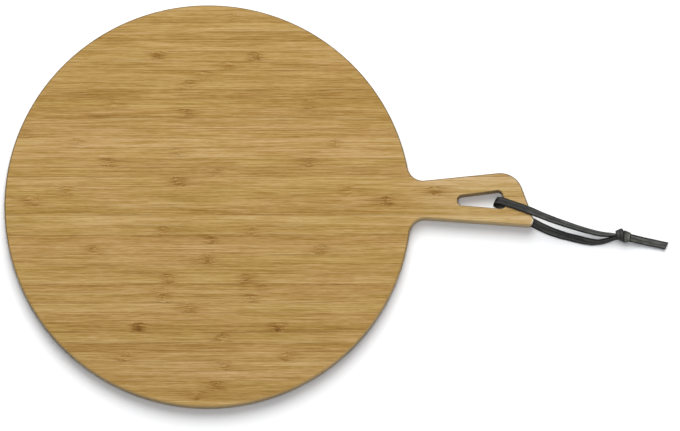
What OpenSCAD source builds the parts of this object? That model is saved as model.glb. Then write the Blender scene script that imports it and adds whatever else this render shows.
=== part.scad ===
// Round serving board of edge-glued bamboo staves, with a short handle whose
// end is slanted, a grip hole, and a knotted hanging loop of flat lace.
// Millimetres, +Z up. The origin is the centre of the round blade, on the
// surface that the board lies on. The handle points along +X.
// The loop passes under the handle's end, so the board lies with that end
// raised by the thickness of the lace.

/* [Blade] */
// Diameter of the round blade
disc_d = 360; // [350:1:366]
// Thickness of the board
board_t = 15; // [14:0.1:15.2]

/* [Handle] */
// Distance from the blade's centre to the slanted end, on the centre line
end_x = 283.6; // [282:0.1:287]
// Slant of the end, from square
end_slant = 20; // [18:0.5:22]
// Upper edge: height over the centre line, 200 mm out
up_y = 22.9; // [22.5:0.1:23.6]
// Upper edge: how much it rises towards the end, in degrees
up_rise = 5.8; // [5.4:0.1:6.2]
// Lower edge: depth under the centre line, 200 mm out
low_y = 12; // [11.4:0.1:12]
// Lower edge: how much it falls towards the end, in degrees
low_fall = 4.1; // [3.8:0.1:4.2]
// Radius of the upper corner of the end
corner_up = 20.5; // [16:0.5:22]
// Radius of the lower corner of the end
corner_low = 4.8; // [4:0.2:6]
// Radius of the two hollows where the handle meets the blade
neck_r = 14; // [10:0.5:14]

/* [Grip hole] */
// Distance from the blade's centre to the hole's near end
hole_x = 221; // [220.2:0.2:222]
// Distance from the blade's centre to the hole's slanted far end, on the centre line
hole_end_x = 264.4; // [264:0.2:266]
// Hole's upper edge over the centre line, 240 mm out
hole_up_y = 10.9; // [10.7:0.1:11.3]
// Hole's upper edge: rise in degrees
hole_up_rise = 7.4; // [6.8:0.1:8]
// Hole's lower edge under the centre line, 240 mm out
hole_low_y = 1.7; // [1.5:0.1:1.8]
// Hole's lower edge: fall in degrees
hole_low_fall = 4.8; // [4.6:0.1:5.2]
// Radius of the near corners
hole_r = 4; // [3:0.1:4.2]
// Radius of the far corners
hole_far_r = 4.5; // [3:0.1:5]

/* [Staves] */
// Width of one stave
stave_w = 8.7; // [8.6:0.05:8.7]
// Offset of the middle glue line from the centre line
joint_y = -0.8; // [-0.9:0.05:-0.7]

/* [Lace] */
// Width of the flat lace
lace_w = 6.8; // [5:0.2:7]
// Thickness of the flat lace
lace_t = 1.5; // [1.2:0.1:1.5]

/* [Hidden] */
$fn = 96;
disc_r = disc_d / 2;
// The handle's end is raised so that the lace fits under the end bar.
prop_x = 264;
prop = atan((lace_t + 0.3) / (prop_x + disc_r));

// ---- plane geometry ----
function dir(a) = [cos(a), sin(a)];
function side(a) = [-sin(a), cos(a)];
// Point where the line through p at angle a meets the line through q at angle b.
function meet(p, a, q, b) =
    let (u = dir(a), v = dir(b), d = q - p)
    p + u * ((d[0] * v[1] - d[1] * v[0]) / (u[0] * v[1] - u[1] * v[0]));
// A corner at p between the directions a and b (b > a), rounded with radius r:
// [centre, tangent point towards a, tangent point towards b].
function corner(p, a, b, r) =
    let (h = (b - a) / 2)
    [p + dir((a + b) / 2) * (r / sin(h)), p + dir(a) * (r / tan(h)), p + dir(b) * (r / tan(h))];
// Hollow of radius r between the blade and the line through p at angle a. s is
// the side of the line: [centre, tangent point on the blade, on the line].
function hollow(p, a, s, r) =
    let (q = p + side(a) * s * r, u = dir(a), m = q * u,
         c = q + u * (-m + sqrt(m * m - q * q + (disc_r + r) * (disc_r + r))))
    [c, c * (disc_r / (disc_r + r)), c - side(a) * s * r];

up_p = [200, up_y];
low_p = [200, -low_y];
end_p = [end_x, 0];
end_a = 90 + end_slant;
tip_up_p = meet(up_p, up_rise, end_p, end_a);
tip_low_p = meet(low_p, -low_fall, end_p, end_a);
tip_up = corner(tip_up_p, 180 + up_rise, 180 + end_a, corner_up);
tip_low = corner(tip_low_p, end_a, 180 - low_fall, corner_low);
neck_up = hollow(up_p, up_rise, 1, neck_r);
neck_low = hollow(low_p, -low_fall, -1, neck_r);
// Where the handle's edges are carried to inside the blade.
root_x = 150;
root_up = meet(up_p, up_rise, [root_x, 0], 90);
root_low = meet(low_p, -low_fall, [root_x, 0], 90);

hole_up_p = [240, hole_up_y];
hole_low_p = [240, -hole_low_y];
hole_near_p = [hole_x, 0];
hole_far_p = [hole_end_x, 0];
hole_pts = [
    meet(hole_up_p, hole_up_rise, hole_near_p, 90), meet(hole_up_p, hole_up_rise, hole_far_p, end_a),
    meet(hole_low_p, -hole_low_fall, hole_far_p, end_a), meet(hole_low_p, -hole_low_fall, hole_near_p, 90)
];
h_near_up = corner(hole_pts[0], -90, hole_up_rise, hole_r);
h_far_up = corner(hole_pts[1], 180 + hole_up_rise, 180 + end_a, hole_far_r);
h_far_low = corner(hole_pts[2], end_a, 180 - hole_low_fall, hole_far_r);
h_near_low = corner(hole_pts[3], -hole_low_fall, 90, hole_r);

// ---- plans ----
module disc_plan() circle(disc_r, $fn = 180);

// What a rounded corner c of radius r takes off: the tip outside the arc.
module corner_off(p, c, r) {
    difference() {
        polygon([c[0], c[1] + (c[1] - c[0]) * (3 / r), p + (p - c[0]) * (6 / r), c[2] + (c[2] - c[0]) * (3 / r)]);
        translate(c[0]) circle(r);
    }
}

// The web between blade and handle inside a hollow.
module web(n) {
    difference() {
        polygon([n[1], n[0], n[2], [root_x + 12, n[2][1] * 0.6]]);
        translate(n[0]) circle(neck_r);
    }
}

// The open space above and below the handle, past its end, and beyond the far rim.
module above_handle() {
    difference() {
        polygon([root_up, up_p + dir(up_rise) * 130, [330, 120], [root_x, 120]]);
        disc_plan();
        web(neck_up);
    }
}

module below_handle() {
    difference() {
        polygon([root_low, [root_x, -120], [330, -120], low_p + dir(-low_fall) * 130]);
        disc_plan();
        web(neck_low);
    }
}

module past_end() {
    polygon([end_p + dir(end_a) * 60, end_p - dir(end_a) * 60, [360, -60], [360, 60]]);
}

module past_rim() {
    difference() {
        translate([-disc_r - 20, -disc_r - 20]) square([disc_r + 20, disc_d + 40]);
        disc_plan();
    }
}

module hole_plan() {
    difference() {
        polygon(hole_pts);
        corner_off(hole_pts[0], h_near_up, hole_r);
        corner_off(hole_pts[1], h_far_up, hole_far_r);
        corner_off(hole_pts[2], h_far_low, hole_far_r);
        corner_off(hole_pts[3], h_near_low, hole_r);
    }
}

// ---- staves ----
// Staves are numbered from the -Y rim. Those from handle_first to handle_last
// reach into the handle or its neck.
stave_n = 42;
handle_first = 19;
handle_last = 25;
function stave_y(i) = joint_y + (i - 22) * stave_w;
function two(i) = i < 10 ? str("0", i) : str(i);
function stave_name(i) = str("stave_", two(i));
// A little change of tone from stave to stave.
function tone(i) = 0.05 * sin(i * 137) + 0.03 * sin(i * 71);

// The board as it lies: it turns about the far rim until its end clears the lace.
module lying() {
    translate([-disc_r, 0, 0]) rotate([0, -prop, 0]) translate([disc_r, 0, 0]) children();
}

module strip(i, x_from, x_to) {
    translate([x_from, stave_y(i)]) square([x_to - x_from, stave_w]);
}

module stave_solid(i, x_from, x_to, c) {
    color([0.74 + c, 0.62 + c, 0.41 + c])
    lying() linear_extrude(board_t)
    if (i < handle_first || i > handle_last)
        intersection() {
            disc_plan();
            strip(i, x_from, x_to);
        }
    else
        difference() {
            strip(i, x_from, x_to);
            past_rim();
            above_handle();
            below_handle();
            past_end();
            corner_off(tip_up_p, tip_up, corner_up);
            corner_off(tip_low_p, tip_low, corner_low);
            hole_plan();
        }
}

// The part of each stave on the blade's side.
module stave(i) {
    stave_solid(i, -disc_r - 10, i == 22 ? 250 : i == 25 ? 200 : 310, tone(i));
}

// The end of the stave that the grip hole cuts through.
module stave_22_end() { stave_solid(22, 250, 310, tone(22)); }

// The end of the stave that the upper edge of the handle cuts through.
module stave_25_end() { stave_solid(25, 200, 310, tone(25)); }

// ---- lace ----
// Route points: x, y, z of the middle of the lace and its heading in plan.
upper_route = [
    [254.6, 3.7, 9, -28], [254.6, 3.7, 13.5, -28], [255.2, 3.8, 15.7, -27],
    [256.7, 3.8, 17.3, -24], [259.2, 3.5, 18, -20], [265, 1.6, 18, -18],
    [272, -0.7, 18, -18.5], [279, -3.1, 18, -19.5], [286, -5.8, 18, -20],
    [293.5, -8.9, 17.7, -20], [302, -12.1, 16.5, -20], [311, -15.1, 14.6, -18],
    [320, -17.8, 12.6, -16.5], [329, -20.4, 10.8, -15.5], [338, -22.7, 9.2, -13],
    [346.5, -24.5, 8, -9], [353.5, -25.2, 7.2, -6], [360.9, -25.4, 6.9, -10]
];
lower_route = [
    [254.6, 3.7, 9, -28], [254.6, 3.7, 5.3, -28], [255.2, 3.5, 3.1, -28],
    [256.7, 3, 1.5, -28], [259, 1.9, 0.8, -28], [266, -1.7, 0.8, -28],
    [273, -5.4, 0.8, -28], [280, -9.1, 0.8, -28], [287, -12.9, 0.8, -27],
    [293.5, -16.4, 0.8, -25], [302, -20.4, 0.8, -22], [311, -23.7, 0.8, -18],
    [320, -26.3, 1.1, -15.5], [329, -28.7, 2.3, -13], [338, -30.8, 3.3, -8],
    [346.5, -31.2, 3.8, 3], [353.5, -29.7, 4, 11], [360.6, -27.4, 4.2, -10]
];
knot_at = [368, -25.5, 5.6];
knot_a = -10;
knot_l = 14;
tail_upper_route = [
    [374.7, -28.1, 6.4, -10], [379, -29.1, 5.5, -12], [386, -30.6, 4, -12],
    [395, -32.4, 2.9, -12], [405.4, -34.7, 2.6, -12.5]
];
tail_lower_route = [
    [374.9, -27.4, 4, -10], [379, -28.3, 2.9, -12], [386, -29.7, 1.4, -12],
    [395, -31.6, 0.8, -12], [406.4, -34.2, 0.8, -12.5]
];

// Section of the lace: x across it, y through it.
function lace_section() =
    let (a = lace_w / 2, b = lace_t / 2, c = 0.4)
    [[a, -b + c], [a, b - c], [a - c, b], [-a + c, b], [-a, b - c], [-a, -b + c], [-a + c, -b], [a - c, -b]];

function unit(v) = v / norm(v);
function at(r) = [r[0], r[1], r[2]];
// Direction of the route at point i. first and last fix the two ends.
function along(route, i, first, last) =
    i == 0 ? first : i == len(route) - 1 ? last
    : unit(unit(at(route[i + 1]) - at(route[i])) + unit(at(route[i]) - at(route[i - 1])));

module sweep(route, first, last) {
    s = lace_section();
    n = len(s);
    m = len(route);
    pts = [for (i = [0 : m - 1])
        let (t = along(route, i, first, last),
             h = route[i][3],
             u = unit(cross(t, cross([-sin(h), cos(h), 0], t))),
             v = cross(t, u))
        for (p = s) at(route[i]) + u * p[0] + v * p[1]];
    faces = concat(
        [[for (j = [0 : n - 1]) j]],
        [[for (j = [n - 1 : -1 : 0]) (m - 1) * n + j]],
        [for (i = [0 : m - 2]) for (j = [0 : n - 1])
            let (k = (j + 1) % n) each [
                [i * n + j, (i + 1) * n + j, (i + 1) * n + k],
                [i * n + j, (i + 1) * n + k, i * n + k]]]);
    polyhedron(pts, faces, convexity = 8);
}

knot_d = [cos(knot_a), sin(knot_a), 0];
lace_c = [0.25, 0.25, 0.235];

module lace_upper_run() { color(lace_c) sweep(upper_route, [0, 0, 1], knot_d); }

module lace_lower_run() { color(lace_c) sweep(lower_route, [0, 0, -1], knot_d); }

module lace_knot() {
    color(lace_c * 0.85)
    translate(knot_at) rotate([0, 0, knot_a]) rotate([0, 90, 0])
    rotate_extrude($fn = 48)
        polygon([[0, -knot_l / 2], [4.4, -knot_l / 2], [5.3, -4], [5.5, 0], [5.3, 4], [4.4, knot_l / 2], [0, knot_l / 2]]);
}

module lace_tail_upper() { color(lace_c) sweep(tail_upper_route, knot_d, unit([11, -2.4, -0.2])); }

module lace_tail_lower() { color(lace_c) sweep(tail_lower_route, knot_d, unit([11, -2.4, 0])); }

for (i = [1 : stave_n]) stave(i);
stave_22_end();
stave_25_end();
lace_upper_run();
lace_lower_run();
lace_knot();
lace_tail_upper();
lace_tail_lower();
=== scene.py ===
import math

import bmesh
import bpy
from mathutils import Matrix, Vector


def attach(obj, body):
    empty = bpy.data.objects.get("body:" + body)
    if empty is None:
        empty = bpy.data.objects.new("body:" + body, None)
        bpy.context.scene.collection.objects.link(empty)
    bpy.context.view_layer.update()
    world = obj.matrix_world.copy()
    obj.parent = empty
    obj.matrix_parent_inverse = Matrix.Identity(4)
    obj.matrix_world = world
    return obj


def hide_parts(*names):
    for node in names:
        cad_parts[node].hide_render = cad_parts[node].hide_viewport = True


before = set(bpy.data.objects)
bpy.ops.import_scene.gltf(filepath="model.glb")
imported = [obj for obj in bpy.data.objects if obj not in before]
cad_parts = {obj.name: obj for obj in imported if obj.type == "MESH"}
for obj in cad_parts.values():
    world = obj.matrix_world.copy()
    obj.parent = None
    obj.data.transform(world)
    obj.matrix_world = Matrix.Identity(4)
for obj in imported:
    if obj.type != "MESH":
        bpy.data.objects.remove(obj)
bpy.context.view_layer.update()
MM = 0.001
scene = bpy.context.scene


# ------------------------------------------------------------------ helpers
def lin(c):
    """An sRGB colour, 0 to 255, as the linear colour that a socket takes."""
    out = []
    for x in c:
        x /= 255
        out.append(x / 12.92 if x <= 0.04045 else ((x + 0.055) / 1.055) ** 2.4)
    return out


def direction(a):
    return Vector((math.cos(math.radians(a)), math.sin(math.radians(a))))


def aside(a):
    return Vector((-math.sin(math.radians(a)), math.cos(math.radians(a))))


def angle_of(v):
    return math.degrees(math.atan2(v.y, v.x))


def smoothstep(x):
    x = min(1.0, max(0.0, x))
    return x * x * (3 - 2 * x)


def new_object(name, mesh, body, replaced):
    o = bpy.data.objects.new(name, mesh)
    scene.collection.objects.link(o)
    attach(o, body)
    if replaced:
        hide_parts(*replaced)
    return o


class Nodes:
    """A material's node tree, with short ways to add what these finishes use."""

    def __init__(self, name):
        self.material = bpy.data.materials.new(name)
        self.material.use_nodes = True
        self.tree = self.material.node_tree
        self.tree.nodes.clear()

    def add(self, kind, **props):
        n = self.tree.nodes.new(kind)
        for k, v in props.items():
            setattr(n, k, v)
        return n

    def put(self, socket, value):
        if isinstance(value, bpy.types.NodeSocket):
            self.tree.links.new(value, socket)
        elif value is not None:
            socket.default_value = value

    def math(self, op, a, b=None, c=None, clamp=False):
        n = self.add("ShaderNodeMath", operation=op, use_clamp=clamp)
        for s, v in zip(n.inputs, (a, b, c)):
            self.put(s, v)
        return n.outputs[0]

    def split(self, vector):
        n = self.add("ShaderNodeSeparateXYZ")
        self.put(n.inputs[0], vector)
        return n.outputs[0], n.outputs[1], n.outputs[2]

    def vec(self, x, y, z):
        n = self.add("ShaderNodeCombineXYZ")
        for s, v in zip(n.inputs, (x, y, z)):
            self.put(s, v)
        return n.outputs[0]

    def noise(self, vector, scale=1.0, detail=2.0, rough=0.5):
        n = self.add("ShaderNodeTexNoise", noise_dimensions="3D")
        self.put(n.inputs["Vector"], vector)
        n.inputs["Scale"].default_value = scale
        n.inputs["Detail"].default_value = detail
        n.inputs["Roughness"].default_value = rough
        return n.outputs[0]

    def white(self, w):
        """Three random numbers that belong to w."""
        n = self.add("ShaderNodeTexWhiteNoise", noise_dimensions="1D")
        self.put(n.inputs["W"], w)
        s = self.add("ShaderNodeSeparateColor")
        self.put(s.inputs[0], n.outputs["Color"])
        return s.outputs[0], s.outputs[1], s.outputs[2]

    def smooth(self, value, low, high, to_low=0.0, to_high=1.0):
        n = self.add("ShaderNodeMapRange", interpolation_type="SMOOTHSTEP")
        for s, v in zip(n.inputs, (value, low, high, to_low, to_high)):
            self.put(s, v)
        return n.outputs[0]

    def ramp(self, fac, stops):
        n = self.add("ShaderNodeValToRGB")
        self.put(n.inputs[0], fac)
        e = n.color_ramp.elements
        while len(e) < len(stops):
            e.new(0.5)
        for k, (at, colour) in zip(e, stops):
            k.position = at
            k.color = (*colour, 1.0)
        return n.outputs[0]

    def mix(self, fac, a, b, blend="MIX"):
        n = self.add("ShaderNodeMix", data_type="RGBA", blend_type=blend)
        self.put(n.inputs[0], fac)
        for s, v in ((n.inputs[6], a), (n.inputs[7], b)):
            self.put(s, (*v, 1.0) if isinstance(v, (list, tuple)) and len(v) == 3 else v)
        return n.outputs[2]

    def attribute(self, name):
        return self.add("ShaderNodeAttribute", attribute_name=name).outputs["Vector"]

    def finish(self, colour, rough, height, distance, strength, **sockets):
        bump = self.add("ShaderNodeBump")
        bump.inputs["Strength"].default_value = strength
        bump.inputs["Distance"].default_value = distance
        self.put(bump.inputs["Height"], height)
        shader = self.add("ShaderNodeBsdfPrincipled")
        self.put(shader.inputs["Base Color"], colour)
        self.put(shader.inputs["Roughness"], rough)
        self.put(shader.inputs["Normal"], bump.outputs[0])
        for k, v in sockets.items():
            shader.inputs[k.replace("_", " ")].default_value = v
        out = self.add("ShaderNodeOutputMaterial")
        self.tree.links.new(shader.outputs[0], out.inputs["Surface"])
        return self.material


# ------------------------------------------------------------------- camera
TARGET = Vector((0.11695, -0.0094, 0.0157))
TILT, AWAY = math.radians(9.3), 8.0
cam_data = bpy.data.cameras.new("camera")
cam_data.sensor_width = 36
cam_data.lens = 478.7
cam_data.clip_end = 50
camera = bpy.data.objects.new("camera", cam_data)
camera.location = TARGET + Vector((0, -math.sin(TILT), math.cos(TILT))) * AWAY
camera.rotation_euler = (TILT, 0, 0)
scene.collection.objects.link(camera)
scene.camera = camera
scene.view_settings.view_transform = "Standard"

# --------------------------------------------------- the lace: route and sweep
LACE_W, LACE_T = 6.8, 1.5
UPPER = [
    (254.6, 3.7, 9, -28), (254.6, 3.7, 13.5, -28), (255.2, 3.8, 15.7, -27),
    (256.7, 3.8, 17.3, -24), (259.2, 3.5, 18, -20), (265, 1.6, 18, -18),
    (272, -0.7, 18, -18.5), (279, -3.1, 18, -19.5), (286, -5.8, 18, -20),
    (293.5, -8.9, 17.7, -20), (302, -12.1, 16.5, -20), (311, -15.1, 14.6, -18),
    (320, -17.8, 12.6, -16.5), (329, -20.4, 10.8, -15.5), (338, -22.7, 9.2, -13),
    (346.5, -24.5, 8, -9), (353.5, -25.2, 7.2, -6), (360.9, -25.4, 6.9, -10),
]
LOWER = [
    (254.6, 3.7, 9, -28), (254.6, 3.7, 5.3, -28), (255.2, 3.5, 3.1, -28),
    (256.7, 3, 1.5, -28), (259, 1.9, 0.8, -28), (266, -1.7, 0.8, -28),
    (273, -5.4, 0.8, -28), (280, -9.1, 0.8, -28), (287, -12.9, 0.8, -27),
    (293.5, -16.4, 0.8, -25), (302, -20.4, 0.8, -22), (311, -23.7, 0.8, -18),
    (320, -26.3, 1.1, -15.5), (329, -28.7, 2.3, -13), (338, -30.8, 3.3, -8),
    (346.5, -31.2, 3.8, 3), (353.5, -29.7, 4, 11), (360.6, -27.4, 4.2, -10),
]
KNOT_AT, KNOT_A = Vector((368, -25.5, 5.6)), -10
TAIL_UPPER = [
    (374.7, -28.1, 6.4, -10), (379, -29.1, 5.5, -12), (386, -30.6, 4, -12),
    (395, -32.4, 2.9, -12), (405.4, -34.7, 2.6, -12.5),
]
TAIL_LOWER = [
    (374.9, -27.4, 4, -10), (379, -28.3, 2.9, -12), (386, -29.7, 1.4, -12),
    (395, -31.6, 0.8, -12), (406.4, -34.2, 0.8, -12.5),
]
KNOT_D = Vector((*direction(KNOT_A), 0))


def smooth_route(points, step):
    """Points on a smooth curve through the given ones, about step apart. Any number of values a point."""
    pts = [tuple(map(float, p)) for p in points]
    first = tuple(2 * a - b for a, b in zip(pts[0], pts[1]))
    last = tuple(2 * a - b for a, b in zip(pts[-1], pts[-2]))
    pts = [first, *pts, last]
    out = []
    for k in range(1, len(pts) - 2):
        p = pts[k - 1 : k + 3]
        gap = [max(1e-6, (Vector(p[j + 1][:3]) - Vector(p[j][:3])).length ** 0.5) for j in range(3)]
        t = [0, gap[0], gap[0] + gap[1], sum(gap)]
        n = max(2, round((Vector(p[2][:3]) - Vector(p[1][:3])).length / step))
        for s in range(n):
            x = t[1] + (t[2] - t[1]) * s / n
            a = [tuple((t[j + 1] - x) / (t[j + 1] - t[j]) * u + (x - t[j]) / (t[j + 1] - t[j]) * v
                       for u, v in zip(p[j], p[j + 1])) for j in range(3)]
            b = [tuple((t[j + 2] - x) / (t[j + 2] - t[j]) * u + (x - t[j]) / (t[j + 2] - t[j]) * v
                       for u, v in zip(a[j], a[j + 1])) for j in range(2)]
            out.append(tuple((t[2] - x) / (t[2] - t[1]) * u + (x - t[1]) / (t[2] - t[1]) * v
                             for u, v in zip(b[0], b[1])))
    out.append(pts[-2])
    return out


def lace_section():
    """The lace's section, counter-clockwise: points across and through it, in mm."""
    pts = []
    flat = [k / 5 - 1 for k in range(11)]
    corner = [90 - 22.5 * k for k in range(1, 4)]
    r = 0.5

    def thick(a):
        return LACE_T / 2 * (1 - 0.2 * abs(a) ** 3)

    half = LACE_W / 2 - r
    for a in flat:  # underside, from -u to +u
        pts.append((a * half, -thick(a)))
    h = thick(1)
    for q in corner:  # round the +u edge, from below to above
        pts.append((half + r * math.cos(math.radians(q)), -h + (h - (h - r)) * (1 - math.sin(math.radians(q)))))
    for q in reversed(corner):
        pts.append((half + r * math.cos(math.radians(q)), h - r * (1 - math.sin(math.radians(q)))))
    for a in reversed(flat):
        pts.append((a * half, thick(a)))
    for q in corner:
        pts.append((-half - r * math.cos(math.radians(q)), h - r * (1 - math.sin(math.radians(q)))))
    for q in reversed(corner):
        pts.append((-half - r * math.cos(math.radians(q)), -h + r * (1 - math.sin(math.radians(q)))))
    return pts


SECTION = lace_section()


def sweep(name, frames, start=0.0):
    """A strap mesh. Each frame is (centre, across, through, width factor, shear), in mm. Its along, across and through go in an attribute for the finish."""
    bm = bmesh.new()
    store = bm.verts.layers.float_vector.new("lace")
    rings, along = [], start
    for k, (c, u, v, wide, shear) in enumerate(frames):
        if k:
            along += (c - frames[k - 1][0]).length
        t = u.cross(v)
        ring = []
        for a, b in SECTION:
            p = bm.verts.new((c + u * (a * wide) + v * b + t * (shear * a / (LACE_W / 2))) * MM)
            p[store] = (along, a / (LACE_W / 2), b / (LACE_T / 2))
            ring.append(p)
        rings.append(ring)
    n = len(SECTION)
    for r, s in zip(rings, rings[1:]):
        for j in range(n):
            f = bm.faces.new((r[j], r[(j + 1) % n], s[(j + 1) % n], s[j]))
            f.smooth = True
    for ring in (list(reversed(rings[0])), rings[-1]):
        f = bm.faces.new(ring)
        for e in f.edges:
            e.smooth = False
    bm.normal_update()
    mesh = bpy.data.meshes.new(name)
    bm.to_mesh(mesh)
    bm.free()
    return mesh


def between(keys, x):
    """A smooth value at x, between the keys (x, value)."""
    for (a, p), (b, q) in zip(keys, keys[1:]):
        if x <= b:
            return p + (q - p) * smoothstep((x - a) / (b - a))
    return keys[-1][1]


def route_frames(points, step, roll=None, first=None, last=None, cut=0.0, spread=None):
    """Frames along a route of (x, y, z, heading). roll holds keys (x, degrees) that turn the strap about its own line, and
    spread holds keys (x, factor) for its width."""
    pts = smooth_route(points, step)
    mid = [Vector(p[:3]) for p in pts]
    frames = []
    for k, p in enumerate(pts):
        a, b = mid[max(0, k - 1)], mid[min(len(mid) - 1, k + 1)]
        t = (b - a).normalized()
        if k == 0 and first is not None:
            t = first
        if k == len(pts) - 1 and last is not None:
            t = last
        u = Vector((*aside(p[3]), 0))
        u = (u - t * u.dot(t)).normalized()
        v = t.cross(u)
        share = k / (len(pts) - 1)
        if roll is not None:
            turn = Matrix.Rotation(math.radians(between(roll, p[0])), 3, t)
            u, v = turn @ u, turn @ v
        wide = 1 + 0.012 * math.sin(k * 0.37) + 0.01 * math.sin(k * 0.11 + 1.3)
        if spread is not None:
            wide *= between(spread, p[0])
        frames.append((mid[k], u, v, wide, cut * smoothstep((share - 0.85) / 0.15)))
    return frames


def leather():
    """Dark grey leather lace: a fine grain, a worn face with lines along it, and black cut edges."""
    n = Nodes("leather")
    along, across, through = n.split(n.attribute("lace"))
    side = n.math("ABSOLUTE", across)
    at = n.add("ShaderNodeTexCoord").outputs["Object"]
    # lines along the lace, and wear
    lines = n.noise(n.vec(n.math("MULTIPLY", along, 0.045), n.math("MULTIPLY", across, 3.4), through), 1.0, 3, 0.6)
    wear = n.noise(n.vec(n.math("MULTIPLY", along, 0.16), n.math("MULTIPLY", across, 0.9), through), 1.0, 2, 0.5)
    cell = n.add("ShaderNodeTexVoronoi", feature="DISTANCE_TO_EDGE")
    n.put(cell.inputs["Vector"], at)
    cell.inputs["Scale"].default_value = 1700
    grain = n.smooth(cell.outputs["Distance"], 0.02, 0.25)
    fine = n.noise(at, 2600, 2, 0.6)
    # edges: the rounded corners and the sides are dark
    edge = n.smooth(side, 0.68, 0.90)
    rib = n.math("MULTIPLY", n.math("COSINE", n.math("MULTIPLY", across, 7.0)), -0.16)
    tone = n.math("ADD", n.math("ADD", 0.5, rib), n.math("MULTIPLY", n.math("SUBTRACT", lines, 0.5), 1.8))
    tone = n.math("ADD", tone, n.math("MULTIPLY", n.math("SUBTRACT", wear, 0.5), 0.6))
    tone = n.math("ADD", tone, n.math("MULTIPLY", n.math("SUBTRACT", fine, 0.5), 0.35))
    face = n.ramp(tone, [(0.15, lin((26, 26, 24))), (0.5, lin((45, 45, 42))), (0.85, lin((72, 72, 68)))])
    # painted shade darkens it where it lies on the board and along the lower run; painted sheen makes the rest of the
    # upper run, the knot and the tails paler
    painted_sheen_and_shade = n.smooth(along, 14.0, 64.0, 0.66, 1.82)
    for start, step in ((200.0, -0.50), (400.0, -0.12), (500.0, 1.07)):
        painted_sheen_and_shade = n.math("ADD", painted_sheen_and_shade, n.math("MULTIPLY", n.math("GREATER_THAN", along, start), step))
    # a painted highlight on the right of the knot's collar
    painted_knot_highlight = n.math("DIVIDE", n.math("SUBTRACT", along, 411.5), 3.2)
    painted_knot_highlight = n.math("EXPONENT", n.math("MULTIPLY", n.math("MULTIPLY", painted_knot_highlight, painted_knot_highlight), -1.0))
    painted_sheen_and_shade = n.math("ADD", painted_sheen_and_shade, n.math("MULTIPLY", painted_knot_highlight, 3.2))
    scaled = n.add("ShaderNodeVectorMath", operation="SCALE")
    n.put(scaled.inputs[0], face)
    n.put(scaled.inputs["Scale"], painted_sheen_and_shade)
    pits = n.mix(n.math("MULTIPLY", n.math("SUBTRACT", 1.0, grain), 0.35), scaled.outputs[0], lin((20, 20, 19)))
    # the upper run's edges are the darkest, the tails' lower ones the least
    depth = n.math("SUBTRACT", 0.94, n.math("MULTIPLY", n.math("GREATER_THAN", along, 200.0), 0.24))
    paler_edge = n.math("MULTIPLY", n.math("GREATER_THAN", along, 500.0), n.smooth(across, 0.2, -0.2))
    depth = n.math("SUBTRACT", depth, n.math("MULTIPLY", paler_edge, 0.42))
    colour = n.mix(n.math("MULTIPLY", edge, depth), pits, lin((9, 9, 8)))
    rough = n.math("ADD", 0.58, n.math("MULTIPLY", n.math("ADD", n.math("MULTIPLY", edge, 0.25), n.math("SUBTRACT", lines, 0.5)), 0.6))
    height = n.math("ADD", n.math("MULTIPLY", grain, 0.35), n.math("ADD", n.math("MULTIPLY", lines, 0.9), n.math("MULTIPLY", fine, 0.3)))
    return n.finish(colour, rough, height, 0.00012, 0.5, Specular_IOR_Level=0.2)


LEATHER = leather()
up_frames = route_frames(
    [*UPPER, (364.5, -25.2, 6.4, -10)], 0.8, first=Vector((0, 0, 1)), last=KNOT_D,
    roll=[(282, 0), (294, -19), (302, -22), (311, -25), (320, -29), (329, -37), (346.5, -43), (354, -50), (362, -64)])
low_frames = route_frames(
    [*LOWER, (364.5, -26.8, 4.6, -10)], 0.8, first=Vector((0, 0, -1)), last=KNOT_D,
    roll=[(318, 0), (329, 20), (338, 42), (347, 60), (362, 68)], spread=[(262, 1.0), (284, 1.15), (302, 1.15), (326, 1.0), (362, 1.0)])
up_mesh = sweep("lace_upper_run_strap", up_frames)
low_mesh = sweep("lace_lower_run_strap", low_frames, 200)
for m in (up_mesh, low_mesh):
    m.materials.append(LEATHER)
upper_lace = new_object("lace_upper", up_mesh, "lace_loop", ["lace_upper_run"])
lower_lace = new_object("lace_lower", low_mesh, "lace_loop", ["lace_lower_run"])


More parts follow.
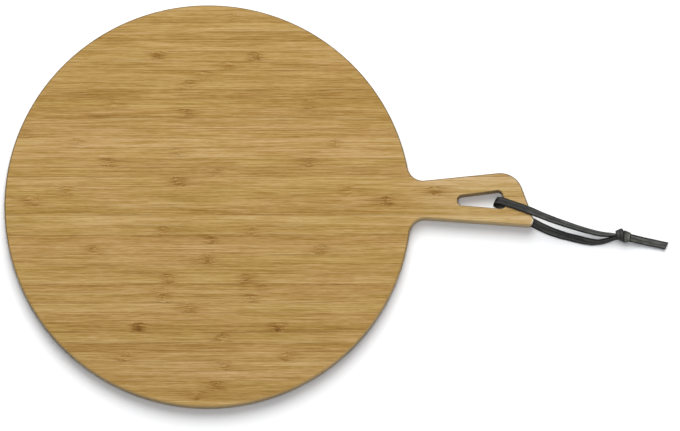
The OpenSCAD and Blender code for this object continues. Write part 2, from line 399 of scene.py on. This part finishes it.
# ------------------------------------------------------------- the lace: knot
def knot_frames():
    """The strap wound round itself: a collar that tapers to the tails, then a band that slants over the top and folds to
    a peak. Each key is an angle round the knot (0 is +Y's side, 90 the top), the place along it, a radius factor, a
    width factor, and how far the band's edge on the tails' side is turned outwards, in degrees."""
    keys = [
        (-75, 3.2, 0.50, 0.70, -6), (-40, 3.2, 0.62, 0.86, -10), (0, 3.0, 0.69, 0.98, -11), (45, 3.0, 0.86, 0.98, -13),
        (90, 3.2, 1.00, 0.96, -14), (135, 3.4, 1.06, 0.92, -18), (180, 3.6, 1.08, 0.86, -22), (225, 2.8, 1.0, 0.82, -12),
        (270, 0.6, 0.90, 0.80, 0), (315, -2.6, 0.82, 0.82, 14), (340, -4.4, 0.78, 0.86, 28), (360, -5.2, 0.78, 0.88, 36),
        (382, -5.0, 0.86, 0.94, 30), (412, -4.4, 1.03, 1.02, 17), (450, -3.3, 1.12, 1.08, 8), (495, -2.1, 1.14, 0.95, 8),
        (540, -1.1, 1.08, 0.76, 12), (585, -1.4, 0.94, 0.70, 8), (625, -2.4, 0.78, 0.70, 0), (660, -3, 0.6, 0.64, 0),
    ]
    out = []
    side_axis, up_axis = Vector((*aside(KNOT_A), 0)), Vector((0, 0, 1))
    # keys as route points, so that the angle itself is smoothed too
    rows = smooth_route([(a / 20, p, r * 3, w, a, e) for a, p, r, w, e in keys], 0.16)
    places = []
    for a20, p, r3, w, a, e in rows:
        q, r = math.radians(a), r3 / 3
        places.append((KNOT_D * p + side_axis * (4.35 * r * math.cos(q)) + up_axis * (4.05 * r * math.sin(q)) + KNOT_AT, q, w, math.radians(e)))
    for k, (c, q, w, e) in enumerate(places):
        t = (places[min(len(places) - 1, k + 1)][0] - places[max(0, k - 1)][0]).normalized()
        v = side_axis * (math.cos(q) / 4.35) + up_axis * (math.sin(q) / 4.05)
        v = (v - t * v.dot(t)).normalized()
        u = v.cross(t)
        # u points to the tails' side or away from it: turn that edge outwards
        s = 1 if u.dot(KNOT_D) > 0 else -1
        u, v = u * math.cos(e) + v * (s * math.sin(e)), v * math.cos(e) - u * (s * math.sin(e))
        out.append((c, u, v, w, 0.0))
    return out


knot_mesh = sweep("lace_knot_strap", knot_frames(), 400)
knot_mesh.materials.append(LEATHER)
knot = new_object("lace_knot_wound", knot_mesh, "lace_loop", ["lace_knot"])

for name, route, cut, start in (("lace_tail_upper_strap", TAIL_UPPER, 0.9, 500), ("lace_tail_lower_strap", TAIL_LOWER, 0.7, 560)):
    z0 = route[0][2]
    frames = route_frames([(364, -25.6, z0, -10), (370, -26.8, z0, -10), *route], 0.8, first=KNOT_D, cut=cut, spread=[(364, 0.95), (420, 0.95)])
    mesh = sweep(name, frames, start)
    mesh.materials.append(LEATHER)
    new_object(name, mesh, "lace_loop", [name.replace("_strap", "")])

# ------------------------------------------------------- the board: its outline
DISC_R, BOARD_T = 180.0, 15.0
END_X, END_A = 283.6, 110.0
UP_Y, UP_RISE, LOW_Y, LOW_FALL = 22.9, 5.8, 12.0, 4.1
CORNER_UP, CORNER_LOW, NECK_R = 20.5, 4.8, 14.0
HOLE_X, HOLE_END_X, HOLE_UP_Y, HOLE_UP_RISE, HOLE_LOW_Y, HOLE_LOW_FALL = 221.0, 264.4, 10.9, 7.4, 1.7, 4.8
HOLE_R, HOLE_FAR_R = 4.0, 4.5
STAVE_W, JOINT_Y = 8.7, -0.8
PROP = math.atan((1.5 + 0.3) / (264 + DISC_R))


def meet(p, a, q, b):
    u, v, d = direction(a), direction(b), q - p
    return p + u * ((d.x * v.y - d.y * v.x) / (u.x * v.y - u.y * v.x))


def rounded(p, a, b, r):
    h = math.radians((b - a) / 2)
    return p + direction((a + b) / 2) * (r / math.sin(h)), p + direction(a) * (r / math.tan(h)), p + direction(b) * (r / math.tan(h))


def hollow(p, a, s, r):
    q, u = p + aside(a) * (s * r), direction(a)
    m = q.dot(u)
    c = q + u * (-m + math.sqrt(m * m - q.dot(q) + (DISC_R + r) ** 2))
    return c, c * (DISC_R / (DISC_R + r)), c - aside(a) * (s * r)


def straight(p, q, normal, step=6.0):
    """Points from p up to, not including, q, each with the way out of the wood."""
    n = max(1, round((q - p).length / step))
    return [(p + (q - p) * (k / n), normal) for k in range(n)]


def arc(c, r, a0, a1, out, step):
    """Points on an arc from angle a0 up to, not including, a1. out is 1 if the wood is inside the arc."""
    n = max(2, math.ceil(abs(a1 - a0) / step))
    return [(c + direction(a0 + (a1 - a0) * k / n) * r, direction(a0 + (a1 - a0) * k / n) * out) for k in range(n)]


def turn_to(a0, a1, sign):
    """a1, moved by whole turns so that going from a0 to it turns the given way."""
    while (a1 - a0) * sign < 0:
        a1 += 360 * sign
    while (a1 - a0) * sign > 360:
        a1 -= 360 * sign
    return a1


def outline():
    """The board's edge, counter-clockwise."""
    up_p, low_p, end_p = Vector((200, UP_Y)), Vector((200, -LOW_Y)), Vector((END_X, 0))
    tip_up = rounded(meet(up_p, UP_RISE, end_p, END_A), 180 + UP_RISE, 180 + END_A, CORNER_UP)
    tip_low = rounded(meet(low_p, -LOW_FALL, end_p, END_A), END_A, 180 - LOW_FALL, CORNER_LOW)
    neck_up, neck_low = hollow(up_p, UP_RISE, 1, NECK_R), hollow(low_p, -LOW_FALL, -1, NECK_R)
    pts = straight(neck_low[2], tip_low[2], -aside(-LOW_FALL))
    a0 = angle_of(tip_low[2] - tip_low[0])
    pts += arc(tip_low[0], CORNER_LOW, a0, turn_to(a0, angle_of(tip_low[1] - tip_low[0]), 1), 1, 6)
    pts += straight(tip_low[1], tip_up[2], -aside(END_A))
    a0 = angle_of(tip_up[2] - tip_up[0])
    pts += arc(tip_up[0], CORNER_UP, a0, turn_to(a0, angle_of(tip_up[1] - tip_up[0]), 1), 1, 4)
    pts += straight(tip_up[1], neck_up[2], aside(UP_RISE))
    a0 = angle_of(neck_up[2] - neck_up[0])
    pts += arc(neck_up[0], NECK_R, a0, turn_to(a0, angle_of(neck_up[1] - neck_up[0]), -1), -1, 5)
    a0 = angle_of(neck_up[1])
    pts += arc(Vector((0, 0)), DISC_R, a0, turn_to(a0, angle_of(neck_low[1]), 1), 1, 0.75)
    a0 = angle_of(neck_low[1] - neck_low[0])
    pts += arc(neck_low[0], NECK_R, a0, turn_to(a0, angle_of(neck_low[2] - neck_low[0]), -1), -1, 5)
    return pts


def hole_outline():
    """The grip hole's edge, clockwise, so that the wood is on the same hand as on the outside."""
    up_p, low_p = Vector((240, HOLE_UP_Y)), Vector((240, -HOLE_LOW_Y))
    near_p, far_p = Vector((HOLE_X, 0)), Vector((HOLE_END_X, 0))
    near_up = rounded(meet(up_p, HOLE_UP_RISE, near_p, 90), -90, HOLE_UP_RISE, HOLE_R)
    far_up = rounded(meet(up_p, HOLE_UP_RISE, far_p, END_A), 180 + HOLE_UP_RISE, 180 + END_A, HOLE_FAR_R)
    far_low = rounded(meet(low_p, -HOLE_LOW_FALL, far_p, END_A), END_A, 180 - HOLE_LOW_FALL, HOLE_FAR_R)
    near_low = rounded(meet(low_p, -HOLE_LOW_FALL, near_p, 90), -HOLE_LOW_FALL, 90, HOLE_R)
    pts = []

    def bend(c, p, q, r):
        a0 = angle_of(p - c)
        return arc(c, r, a0, turn_to(a0, angle_of(q - c), -1), -1, 7)

    pts += straight(near_low[2], near_up[1], Vector((1, 0)), 3)
    pts += bend(near_up[0], near_up[1], near_up[2], HOLE_R)
    pts += straight(near_up[2], far_up[1], -aside(HOLE_UP_RISE), 4)
    pts += bend(far_up[0], far_up[1], far_up[2], HOLE_FAR_R)
    pts += straight(far_up[2], far_low[1], aside(END_A), 3)
    pts += bend(far_low[0], far_low[1], far_low[2], HOLE_FAR_R)
    pts += straight(far_low[2], near_low[1], aside(-HOLE_LOW_FALL), 4)
    pts += bend(near_low[0], near_low[1], near_low[2], HOLE_R)
    return pts


# -------------------------------------------------------- the board: its staves
EDGE_R, HOLE_EDGE_R = 1.5, 1.0
TOP, UNDER, CUT = 1, 2, 3


def whole_board():
    """The board as one closed mesh with rounded edges, in mm, before it is sawn into its staves."""
    bm = bmesh.new()
    out_way = bm.verts.layers.float_vector.new("out_way")
    kind = bm.faces.layers.int.new("kind")
    loops = {TOP: [], UNDER: []}
    for pts, r in ((outline(), EDGE_R), (hole_outline(), HOLE_EDGE_R)):
        rings = []
        turns = [(a, r - r * math.cos(math.radians(a)), (r if a < 0 else BOARD_T - r) + r * math.sin(math.radians(a)))
                 for a in [*range(-90, 0, 15), -0.001, 0.001, *range(15, 91, 15)]]
        for a, inset, z in turns:
            ring = []
            for p, n in pts:
                v = bm.verts.new((p.x - n.x * inset, p.y - n.y * inset, z))
                v[out_way] = (n.x * math.cos(math.radians(a)), n.y * math.cos(math.radians(a)), math.sin(math.radians(a)))
                ring.append(v)
            rings.append(ring)
        m = len(pts)
        for lower, upper in zip(rings, rings[1:]):
            for k in range(m):
                bm.faces.new((lower[k], lower[(k + 1) % m], upper[(k + 1) % m], upper[k]))
        for side, ring in ((UNDER, rings[0]), (TOP, rings[-1])):
            loops[side] += [bm.edges.get((ring[k], ring[(k + 1) % m])) for k in range(m)]
    for side, edges in loops.items():
        want = 1 if side == TOP else -1
        made = bmesh.ops.triangle_fill(bm, use_beauty=True, use_dissolve=False, edges=edges)["geom"]
        for f in made:
            if isinstance(f, bmesh.types.BMFace):
                f.normal_update()
                if f.normal.z * want < 0:
                    f.normal_flip()
                f[kind] = side
    bm.normal_update()
    return bm


def lying(p):
    """From the board's own frame to the way it lies, its handle raised on the lace."""
    x, s, c = p.x + DISC_R, math.sin(PROP), math.cos(PROP)
    return Vector((x * c - p.z * s - DISC_R, p.y, x * s + p.z * c))


def tilted(n):
    s, c = math.sin(PROP), math.cos(PROP)
    return Vector((n.x * c - n.z * s, n.y, n.x * s + n.z * c))


def saw(board, name, low, high, x_low, x_high):
    """One stave, cut from the board between two glue lines."""
    bm = board.copy()
    kind = bm.faces.layers.int["kind"]
    cuts = [((0, low, 0), (0, -1, 0)), ((0, high, 0), (0, 1, 0))]
    if x_low is not None:
        cuts.append(((x_low, 0, 0), (-1, 0, 0)))
    if x_high is not None:
        cuts.append(((x_high, 0, 0), (1, 0, 0)))
    for co, no in cuts:
        bmesh.ops.bisect_plane(bm, geom=[*bm.verts, *bm.edges, *bm.faces], dist=1e-5, plane_co=co, plane_no=no, clear_outer=True)
        edges = [e for e in bm.edges if e.is_boundary]
        if edges:
            for f in bmesh.ops.holes_fill(bm, edges=edges, sides=0)["faces"]:
                f[kind] = CUT
    for side in (TOP, UNDER):
        faces = [f for f in bm.faces if f[kind] == side]
        for f in bmesh.ops.dissolve_faces(bm, faces=faces, use_verts=False)["region"]:
            f[kind] = side
    for f in bm.faces:
        f.smooth = True
    for f in bm.faces:
        if f[kind] == CUT:
            for e in f.edges:
                e.smooth = False
    for v in bm.verts:
        v.co = lying(v.co) * MM
    bm.normal_update()
    mesh = bpy.data.meshes.new(name)
    bm.to_mesh(mesh)
    bm.free()
    out = [d.vector.copy() for d in mesh.attributes["out_way"].data]
    kinds = [d.value for d in mesh.attributes["kind"].data]
    normals = [None] * len(mesh.loops)
    for p in mesh.polygons:
        for li in p.loop_indices:
            k = kinds[p.index]
            if k == 0:
                n = tilted(out[mesh.loops[li].vertex_index].normalized())
            elif k == CUT:
                n = p.normal.copy()
            else:
                n = tilted(Vector((0, 0, 1 if k == TOP else -1)))
            normals[li] = n
    mesh.normals_split_custom_set(normals)
    mesh.attributes.remove(mesh.attributes["out_way"])
    mesh.attributes.remove(mesh.attributes["kind"])
    return mesh


# Where the bamboo's knuckles show on each stave, in mm from the blade's centre, and how strongly.
FAINT, PLAIN, CLEAR, STRONG, DARK = 0.35, 0.6, 0.8, 1.0, 1.3
KNUCKLES = {
    41: [(23, FAINT)], 37: [(-44, CLEAR), (42, STRONG)], 36: [(17, PLAIN)], 35: [(-4, FAINT)], 34: [(-18, PLAIN)],
    32: [(-84, FAINT), (88, PLAIN)], 31: [(-20, CLEAR)], 29: [(-163, FAINT), (164, FAINT)], 28: [(-113, FAINT), (113, FAINT)],
    27: [(-26, FAINT)], 26: [(-89, STRONG), (89, CLEAR)], 25: [(7, FAINT)], 24: [(-27, STRONG)],
    23: [(-125, FAINT), (123, FAINT), (201, CLEAR)], 22: [(-157, STRONG), (158, STRONG)], 19: [(-39, PLAIN), (38, FAINT)],
    18: [(3, CLEAR)], 17: [(-100, PLAIN), (99, PLAIN)], 16: [(0, CLEAR)], 14: [(-34, CLEAR), (34, CLEAR)],
    13: [(-42, FAINT), (48, FAINT)], 12: [(-39, PLAIN), (38, PLAIN)], 11: [(-17, CLEAR)], 9: [(-61, DARK), (62, DARK)],
    8: [(11, CLEAR)], 6: [(-73, PLAIN), (71, PLAIN)], 5: [(15, PLAIN)], 3: [(8, CLEAR)], 2: [(-9, PLAIN)],
}
# Staves a little lighter or darker than the others.
TONES = {31: 0.10, 30: -0.12, 25: -0.10, 24: 0.17, 23: -0.06, 13: -0.06, 12: 0.05}


def bamboo():
    """Caramel bamboo, planed and oiled: fine fibres along each stave, a tone of its own for each, glue lines, knuckles,
    and speckled end grain."""
    n = Nodes("bamboo")
    gain = (0.789, 0.768, 0.774)

    def c(*rgb):
        return [x * g for x, g in zip(lin(rgb), gain)]

    def off(s, by):
        return n.math("MULTIPLY", n.math("SUBTRACT", s, 0.5), by)

    def square(s):
        return n.math("MULTIPLY", s, s)

    def times(*values):
        out = values[0]
        for v in values[1:]:
            out = n.math("MULTIPLY", out, v)
        return out

    def plus(*values):
        out = values[0]
        for v in values[1:]:
            out = n.math("ADD", out, v)
        return out

    x, y, z = (n.math("MULTIPLY", s, 1000.0) for s in n.split(n.add("ShaderNodeTexCoord").outputs["Object"]))
    row = n.math("DIVIDE", n.math("SUBTRACT", y, JOINT_Y), STAVE_W)
    stave = n.math("FLOOR", row)
    f = n.math("SUBTRACT", row, stave)
    r1, r2, r3 = n.white(plus(times(stave, 1.37), 40.21))
    q1, q2, q3 = n.white(plus(times(stave, 2.91), 77.7))
    edge = n.math("MULTIPLY", n.math("MINIMUM", f, n.math("SUBTRACT", 1.0, f)), STAVE_W)
    mid = off(f, STAVE_W)
    joint = n.math("FLOOR", n.math("ADD", row, 0.5))
    j1, j2, j3 = n.white(plus(times(joint, 3.17), 12.3))

    # the nearest knuckle: signed distance along the stave, its strength, and random numbers of its own
    marks = n.split(n.attribute("knuckle_marks"))
    u = [n.math("SUBTRACT", x, k) for k in n.split(n.attribute("knuckles"))]
    near, mark = u[0], marks[0]
    for other, its in zip(u[1:], marks[1:]):
        pick = n.math("LESS_THAN", n.math("ABSOLUTE", other), n.math("ABSOLUTE", near))
        rest = n.math("SUBTRACT", 1.0, pick)
        near = plus(times(other, pick), times(near, rest))
        mark = plus(times(its, pick), times(mark, rest))
    own = plus(n.math("FLOOR", plus(times(n.math("SUBTRACT", x, near), 0.2), 0.71)), times(stave, 37.3))
    a1, a2, a3 = n.white(plus(times(own, 1.73), 5.1))
    b1, b2, b3 = n.white(plus(times(own, 2.39), 9.7))

    def bell(s, width):
        return n.math("EXPONENT", times(square(n.math("DIVIDE", s, width)), -1.0))

    # fibres spread round a knuckle and wander a little
    wander = n.noise(n.vec(plus(times(x, 0.008), times(r1, 50.0)), times(y, 0.05), times(z, 0.05)), 1.0, 1)
    yy = n.math("SUBTRACT", y, times(mid, bell(near, 6.0), 0.35))
    yy = plus(yy, off(wander, 0.9))

    def fibre(along, across, detail, rough, shift):
        return n.noise(n.vec(
            plus(times(x, along), times(r1, 300.0 + shift)),
            plus(times(yy, across), times(r2, 200.0 + shift)),
            plus(times(z, across), times(r3, 100.0 + shift))), 1.0, detail, rough)

    broad = fibre(0.010, 0.12, 2, 0.5, 0)
    streak = fibre(0.014, 0.50, 2, 0.6, 31)
    thin = n.smooth(fibre(0.019, 0.9, 2, 0.6, 57), 0.38, 0.62)
    hair = n.smooth(fibre(0.026, 1.6, 1, 0.6, 119), 0.38, 0.62)
    dash = n.smooth(fibre(0.040, 1.5, 2, 0.6, 83), 0.58, 0.70)
    tick = n.smooth(fibre(0.12, 0.95, 1, 0.6, 171), 0.36, 0.64)

    tone = plus(0.5, off(q1, 0.29), n.split(n.attribute("stave_tone"))[0])
    for s, by in ((broad, 0.36), (streak, 0.42), (thin, 0.28), (hair, 0.17), (tick, 0.15)):
        tone = plus(tone, off(s, by))
    tone = plus(tone, times(off(f, 0.10), n.math("SIGN", n.math("SUBTRACT", q2, 0.5))))
    tone = n.math("SUBTRACT", tone, times(dash, 0.14))
    # the handle's end of the staves is a little paler, partly a tone of its own and partly painted sheen
    tone = plus(tone, n.smooth(x, 165.0, 215.0, 0.0, 0.21))
    wood = n.ramp(tone, [(0.0, c(141, 103, 36)), (0.25, c(164, 127, 60)), (0.5, c(183, 147, 82)),
                         (0.75, c(199, 164, 105)), (1.0, c(214, 182, 129))])
    # yellower or redder from stave to stave, and along each
    hue = n.noise(n.vec(plus(times(x, 0.009), times(r2, 90.0)), times(r3, 50.0), 0.3), 1.0, 2)
    tint = n.ramp(plus(hue, off(q3, 0.25)), [(0.3, (0.985, 1.008, 0.93)), (0.7, (1.010, 0.993, 1.04))])
    wood = n.mix(1.0, wood, tint, "MULTIPLY")
    # there it is also bluer and less saturated, partly its own tone and partly painted sheen
    wood = n.mix(n.smooth(x, 165.0, 215.0), wood, n.mix(1.0, wood, (1.0, 1.035, 1.12), "MULTIPLY"))

    # knuckles: a soft dark patch that tapers along the fibres, broken into dark and pale strokes and flecks, the darkest
    # with a core, and some with one long streak
    way = n.math("SIGN", n.math("SUBTRACT", b2, 0.5))
    rag = n.noise(n.vec(times(own, 7.3), times(yy, 1.1), times(z, 0.4)), 1.0, 2)
    ragged = plus(near, off(rag, 9.0))
    patch = times(bell(ragged, plus(6.5, times(a1, 4.5))), mark)
    slope = plus(yy, times(near, off(b1, 0.16)))
    stroke = n.noise(n.vec(plus(times(x, 0.065), times(own, 3.1)), times(slope, 1.35), times(z, 0.5)), 1.0, 2, 0.6)
    fleck = n.noise(n.vec(plus(times(x, 0.45), times(own, 1.9)), times(slope, 1.6), times(z, 0.8)), 1.0, 1)
    dv = n.math("SUBTRACT", mid, off(a2, 4.4))
    core = times(bell(near, 2.4), bell(dv, 1.5), n.smooth(mark, 0.95, 1.25))
    run = times(near, way)
    lead = times(bell(dv, 0.8), n.smooth(run, -4.0, 3.0), n.smooth(run, 34.0, 6.0), mark)
    wood = n.mix(times(bell(near, 16.0), mark, 0.20), wood, c(166, 126, 56))
    wood = n.mix(times(patch, 0.32), wood, c(154, 112, 44))
    wood = n.mix(times(patch, n.smooth(stroke, 0.48, 0.60), 0.82), wood, c(130, 88, 20))
    wood = n.mix(times(bell(near, 5.5), mark, n.smooth(fleck, 0.52, 0.61), 0.82), wood, c(126, 84, 20))
    wood = n.mix(times(bell(ragged, 10.0), n.smooth(stroke, 0.45, 0.36), 0.52), wood, c(212, 176, 110))
    wood = n.mix(times(core, 0.8), wood, c(104, 68, 24))
    wood = n.mix(times(lead, 0.5, a3), wood, c(138, 98, 34))

    # the walls are paler and greyer, each stave with a tone of its own
    out_x, out_y, out_z = n.split(n.add("ShaderNodeNewGeometry").outputs["True Normal"])
    wall = n.smooth(n.math("ABSOLUTE", out_z), 0.8, 0.3)
    wood = n.mix(times(wall, 0.6), wood, c(186, 168, 130))
    wall_tone = n.mix(1.0, wood, n.ramp(q2, [(0.0, (0.90, 0.88, 0.84)), (1.0, (1.08, 1.07, 1.04))]), "MULTIPLY")
    wood = n.mix(wall, wood, wall_tone)

    # glue lines: thin, dark for most of their length, pale on some
    come = n.noise(n.vec(plus(times(x, 0.02), times(j1, 400.0)), times(j2, 40.0), 0.5), 1.0, 2)
    line = times(n.smooth(edge, 0.50, 0.08), n.smooth(come, 0.34, 0.60))
    wood = n.mix(times(line, j2, 0.75), wood, c(128, 92, 40))
    wood = n.mix(times(n.smooth(n.math("SUBTRACT", edge, 0.55), 0.35, 0.05), n.smooth(j3, 0.7, 0.9), n.smooth(come, 0.40, 0.60), 0.35), wood, c(212, 184, 126))

    # end grain where the fibres come out
    end = n.smooth(n.math("ABSOLUTE", out_x), 0.35, 0.85)
    cell = n.add("ShaderNodeTexVoronoi", feature="F1")
    n.put(cell.inputs["Vector"], n.vec(times(x, 0.03), times(y, 1.05), times(z, 1.05)))
    cell.inputs["Scale"].default_value = 1.0
    dots = n.smooth(cell.outputs["Distance"], 0.42, 0.16)
    wood = n.mix(times(end, wall, dots, 0.6), wood, c(118, 86, 44))
    # painted shade: the rounding is painted darker, except along the near side
    painted_rim_shade = times(n.smooth(out_z, 0.99, 0.86), n.smooth(out_z, 0.05, 0.25), n.smooth(out_y, -0.35, 0.0))
    wood = n.mix(times(painted_rim_shade, 0.85), wood, c(110, 96, 74))
    # painted light: along the near side the rounding is painted paler
    painted_near_light = times(n.smooth(out_z, 0.995, 0.90), n.smooth(out_z, 0.10, 0.40), n.smooth(out_y, -0.12, -0.45))
    wood = n.mix(times(painted_near_light, 0.55), wood, c(218, 186, 124))
    # painted highlight: the handle's lower corner is painted pale along its rounding
    paler_edge = times(n.smooth(x, 272.0, 282.0), n.smooth(out_x, 0.15, 0.5), n.smooth(out_y, 0.15, -0.1), n.smooth(out_z, 0.1, 0.4))
    wood = n.mix(paler_edge, wood, (0.88, 0.80, 0.62))

    rough = plus(0.60, off(streak, 0.25), times(patch, 0.06))
    height = plus(times(thin, 0.6), times(streak, 0.5), times(dash, -0.3), times(line, -0.6), times(end, dots, -0.5))
    return n.finish(wood, rough, height, 0.00012, 0.35, Specular_IOR_Level=0.12)


BAMBOO = bamboo()
board = whole_board()
for i in range(1, 43):
    low = JOINT_Y + (i - 22) * STAVE_W
    parts = [("", None, {22: 250.0, 25: 200.0}.get(i))]
    if i in (22, 25):
        parts.append(("_end", {22: 250.0, 25: 200.0}[i], None))
    for tail, x_low, x_high in parts:
        node = f"stave_{i:02d}{tail}"
        mesh = saw(board, node + "_wood", low, low + STAVE_W, x_low, x_high)
        spots = (KNUCKLES.get(i, []) + [(9000.0, 0.0)] * 3)[:3]
        for k, name in enumerate(("knuckles", "knuckle_marks")):
            values = [float(s[k]) for s in spots] * len(mesh.vertices)
            mesh.attributes.new(name, "FLOAT_VECTOR", "POINT").data.foreach_set("vector", values)
        values = [TONES.get(i, 0.0), 0.0, 0.0] * len(mesh.vertices)
        mesh.attributes.new("stave_tone", "FLOAT_VECTOR", "POINT").data.foreach_set("vector", values)
        mesh.materials.append(BAMBOO)
        new_object(node + "_wood", mesh, "board", [node])
board.free()


# ------------------------------------------------------------- floor and light
def floor():
    n = Nodes("floor")
    at = n.add("ShaderNodeTexCoord").outputs["Object"]
    grain = n.noise(at, 40, 2)
    colour = n.mix(n.math("MULTIPLY", grain, 0.02), (0.92, 0.92, 0.92), (0.88, 0.88, 0.88))
    mesh = bpy.data.meshes.new("floor")
    mesh.from_pydata([(-6, -6, 0), (6, -6, 0), (6, 6, 0), (-6, 6, 0)], [], [(0, 1, 2, 3)])
    mesh.materials.append(n.finish(colour, 0.9, grain, 0.00002, 0.05, Specular_IOR_Level=0.1))
    o = bpy.data.objects.new("floor", mesh)
    scene.collection.objects.link(o)


def lamp(name, at, aim, wide, tall, power, colour=(1, 1, 1)):
    data = bpy.data.lights.new(name, "AREA")
    data.shape = "ELLIPSE"
    data.size = wide
    data.size_y = tall
    data.energy = power
    data.color = colour
    o = bpy.data.objects.new(name, data)
    o.location = at
    o.rotation_euler = (Vector(aim) - Vector(at)).to_track_quat("-Z", "Y").to_euler()
    scene.collection.objects.link(o)


floor()
lamp("key", (0.05, 1.30, 2.01), (0.08, 0, 0), 1.8, 2.1, 67)
lamp("fill", (0.05, -0.2, 3.0), (0.12, 0, 0), 0.6, 0.6, 25, (0.96, 0.99, 1.05))
lamp("front", (0.10, -2.2, 0.42), (0.1, 0, 0), 1.0, 1.0, 4)
lamp("side", (2.4, -0.8, 0.6), (0.2, 0, 0), 0.8, 0.8, 5)
world = bpy.data.worlds.new("studio")
world.use_nodes = True
world.node_tree.nodes["Background"].inputs[0].default_value = (0.96, 0.98, 1.0, 1)
world.node_tree.nodes["Background"].inputs[1].default_value = 0.085
scene.world = world
